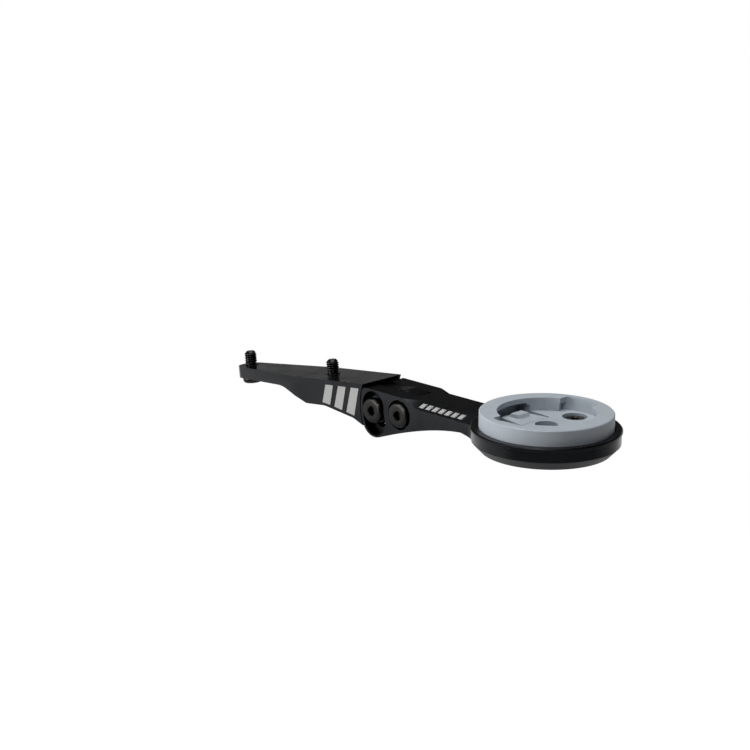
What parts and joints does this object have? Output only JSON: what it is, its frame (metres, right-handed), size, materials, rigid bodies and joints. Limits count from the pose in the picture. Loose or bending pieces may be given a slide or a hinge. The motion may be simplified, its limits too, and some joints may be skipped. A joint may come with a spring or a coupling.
{
  "type": "out-front cycling computer mount",
  "caption": "Under-bar bracket with a clamped tilting arm that carries a round cup and a moulded quarter-turn bayonet insert for a cycling computer.",
  "frame": {"origin": "on the bracket's bar face, on its centre line, midway between the two bar screws", "axes": "+Z out of the bar face, up into the handlebar; +X forwards, towards the cup; +Y to the rider's left"},
  "size_m": [0.1515, 0.0418, 0.0214],
  "materials": {
    "black_anodised": "black anodised, fine bead-blasted satin",
    "black_steel": "black oxide, satin",
    "washer_steel": "zinc-nickel, satin",
    "nylon": "matt",
    "insert_plastic": "moulded, fine matt texture"
  },
  "bodies": {
    "bracket": {"base_bracket": "black_anodised", "front_bar_screw": "black_steel", "rear_bar_screw": "black_steel", "pivot_bolt": "black_steel", "pivot_washer": "washer_steel", "pivot_far_washer": "washer_steel", "pivot_sleeve": "washer_steel", "pivot_nut": "black_steel", "near_friction_washer": "nylon", "far_friction_washer": "nylon", "lock_bolt": "black_steel", "lock_washer": "washer_steel", "lock_far_washer": "washer_steel", "lock_nut": "black_steel"},
    "arm": {"arm": "black_anodised", "computer_insert": "insert_plastic", "left_insert_screw": "black_steel", "right_insert_screw": "black_steel"},
    "detent": {"detent_tongue": "insert_plastic"}
  },
  "joints": [
    {"name": "arm_tilt", "type": "hinge", "parent": "bracket", "child": "arm", "pos_m": [0.0565, 0, -0.0081], "axis": [0, 1, 0], "range_deg": [-7, 17]},
    {"name": "detent_flex", "type": "hinge", "parent": "arm", "child": "detent", "pos_m": [0.10245, 0, -0.00703], "axis": [0, 1, 0], "range_deg": [-7, 0], "stiffness_Nm_per_rad": 0.4}
  ]
}
